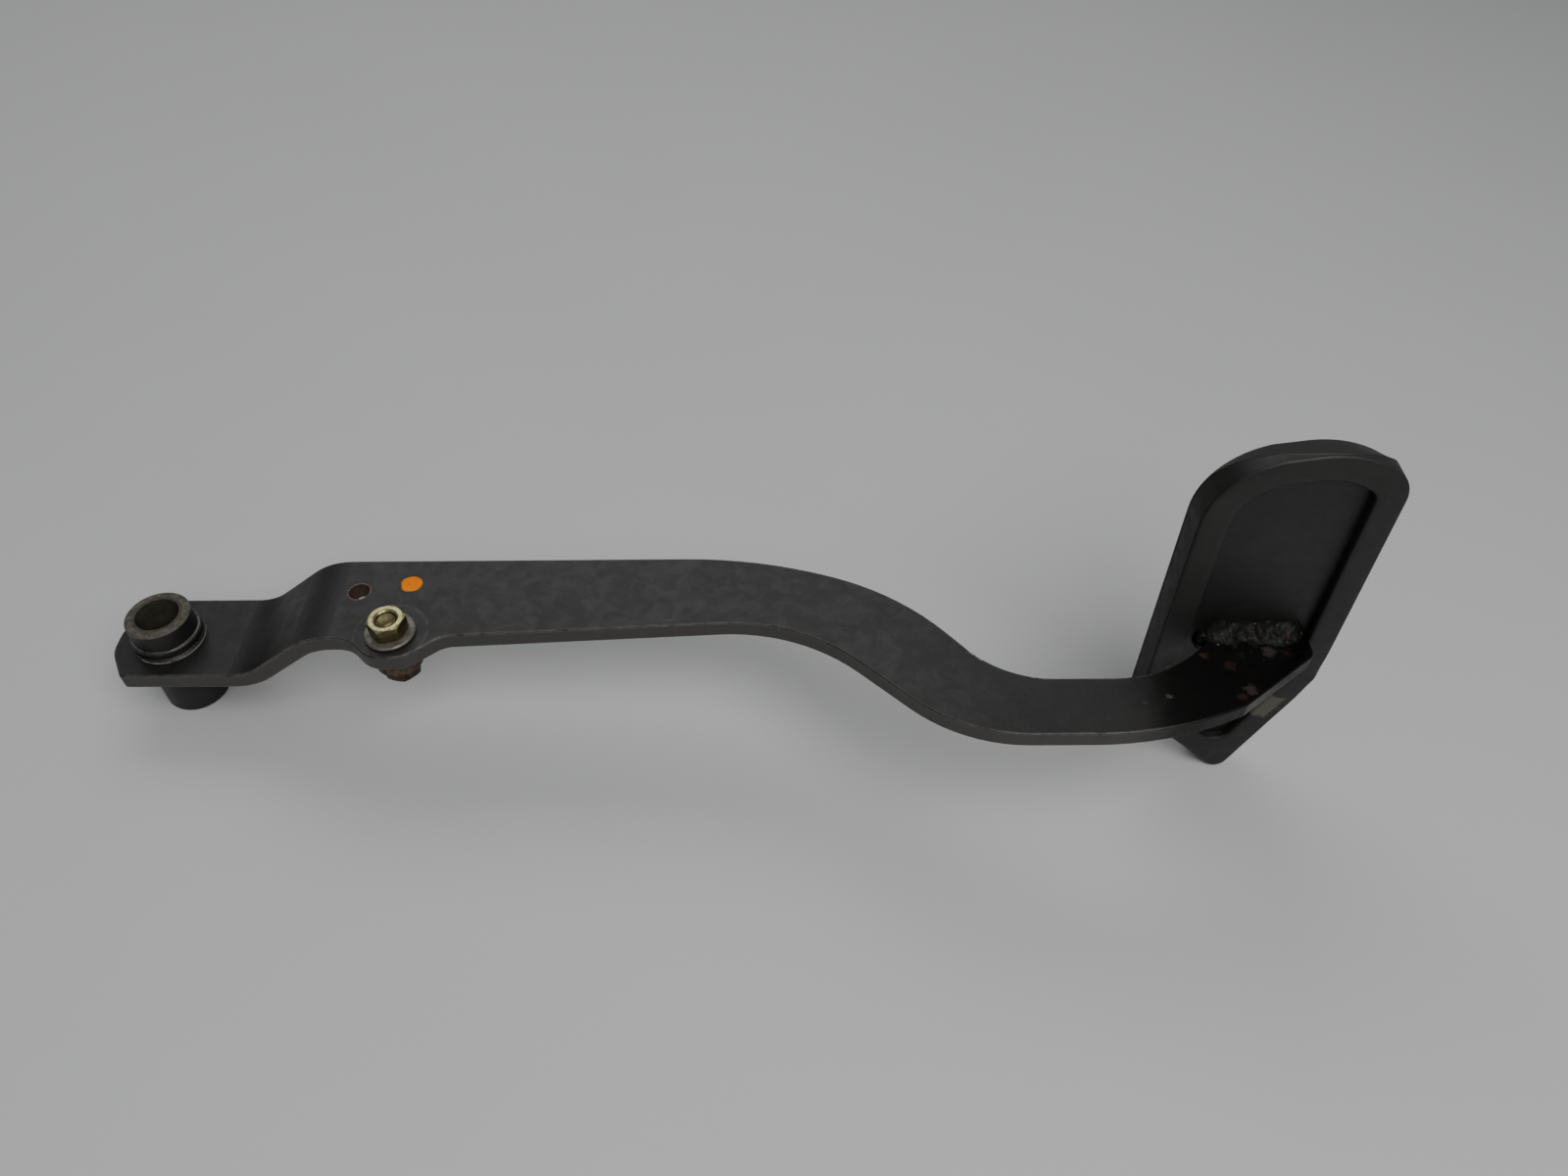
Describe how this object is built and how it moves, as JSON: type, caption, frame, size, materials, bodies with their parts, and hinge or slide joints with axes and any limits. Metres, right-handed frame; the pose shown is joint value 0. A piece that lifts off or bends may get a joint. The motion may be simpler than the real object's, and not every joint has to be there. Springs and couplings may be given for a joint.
{
  "type": "brake pedal",
  "caption": "Automatic-transmission brake pedal: a joggled flat-bar arm with a welded pivot hub, a pushrod bolt with roller, washer and lock nut, and a wide foot plate in a rubber pad.",
  "frame": {"origin": "centre of the pivot bore", "axes": "+Z along the pivot axis, +X along the arm towards the foot plate, +Y towards the foot side"},
  "size_m": [0.4715, 0.0867, 0.1701],
  "materials": {
    "black_paint": "satin",
    "black_rubber": "satin",
    "bush_metal": "matte",
    "yellow_zinc": "satin",
    "grey_zinc": "satin",
    "rusty_steel": "matte",
    "weld_scale": "matte",
    "orange_paint": "gloss"
  },
  "bodies": {
    "pedal": {"pedal_arm": "black_paint", "pivot_tube": "black_paint", "pivot_bush_upper": "bush_metal", "pivot_bush_lower": "bush_metal", "pivot_collar": "black_paint", "hub_weld_upper": "black_paint", "hub_weld_lower": "black_paint", "link_bolt": "yellow_zinc", "link_washer": "grey_zinc", "lock_nut": "yellow_zinc", "pedal_plate": "black_paint", "pedal_pad": "black_rubber", "plate_weld_upper": "weld_scale", "plate_weld_lower": "weld_scale", "plate_weld_throat": "weld_scale"},
    "roller": {"link_roller": "rusty_steel"}
  },
  "joints": [
    {"name": "roller_spin", "type": "hinge", "parent": "pedal", "child": "roller", "pos_m": [0.0975, -0.017, 0.0195], "axis": [0, 0, 1], "continuous": true}
  ]
}
